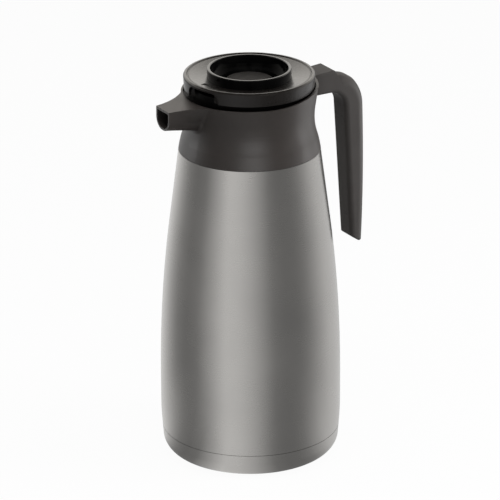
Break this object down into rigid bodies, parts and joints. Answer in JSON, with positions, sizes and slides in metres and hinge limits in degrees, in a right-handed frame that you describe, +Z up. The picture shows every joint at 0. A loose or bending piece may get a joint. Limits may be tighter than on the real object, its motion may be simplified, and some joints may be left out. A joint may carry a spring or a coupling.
{
  "type": "vacuum jug",
  "caption": "Steel vacuum jug with a charcoal collar, moulded spout, open-ended handle and a round lid that turns to pour, lifts off, and lets coffee drip in through a sprung valve.",
  "frame": {"origin": "centre of the foot, on the plane that the jug stands on", "axes": "+Z up along the jug's axis, +X towards the handle, so the spout points to -X and the side seen most in the picture to -Y"},
  "size_m": [0.163, 0.1302, 0.2912],
  "materials": {
    "satin_steel": "fine satin grain around the body",
    "flask_steel": "smooth bright steel",
    "pad_rubber": "matte black",
    "charcoal_plastic": "warm charcoal, satin",
    "seal_rubber": "soft grey silicone",
    "black_plastic": "smooth black",
    "screw_steel": "plain stainless",
    "gloss_black": "polished black",
    "disc_plastic": "matte dark grey"
  },
  "bodies": {
    "jug": {"outer_shell": "satin_steel", "base_cup": "satin_steel", "inner_flask": "flask_steel", "vacuum_seal": "flask_steel", "getter": "flask_steel", "base_pad": "pad_rubber", "collar": "charcoal_plastic", "collar_gasket": "seal_rubber", "neck_nut": "black_plastic", "handle": "charcoal_plastic", "handle_cover": "charcoal_plastic", "handle_screws": "screw_steel"},
    "seal_ring": {"lid_seal": "seal_rubber"},
    "lid": {"lid_cover": "charcoal_plastic", "lid_drum": "black_plastic", "lid_screws": "screw_steel", "funnel": "gloss_black", "valve_spring": "screw_steel"},
    "valve": {"valve_disc": "disc_plastic", "valve_stem": "screw_steel", "valve_plate": "black_plastic", "valve_seal": "seal_rubber", "valve_nut": "screw_steel"}
  },
  "joints": [
    {"name": "lid_lift", "type": "slide", "parent": "jug", "child": "seal_ring", "axis": [0, 0, 1], "range_m": [0, 0.08]},
    {"name": "lid_turn", "type": "hinge", "parent": "seal_ring", "child": "lid", "pos_m": [0, 0, 0.28], "axis": [0, 0, 1], "range_deg": [-12.5, 77.5]},
    {"name": "valve_press", "type": "slide", "parent": "lid", "child": "valve", "axis": [0, 0, -1], "range_m": [0, 0.005], "stiffness_N_per_m": 400, "springref_m": -0.005, "deforming": ["valve_spring"]}
  ]
}
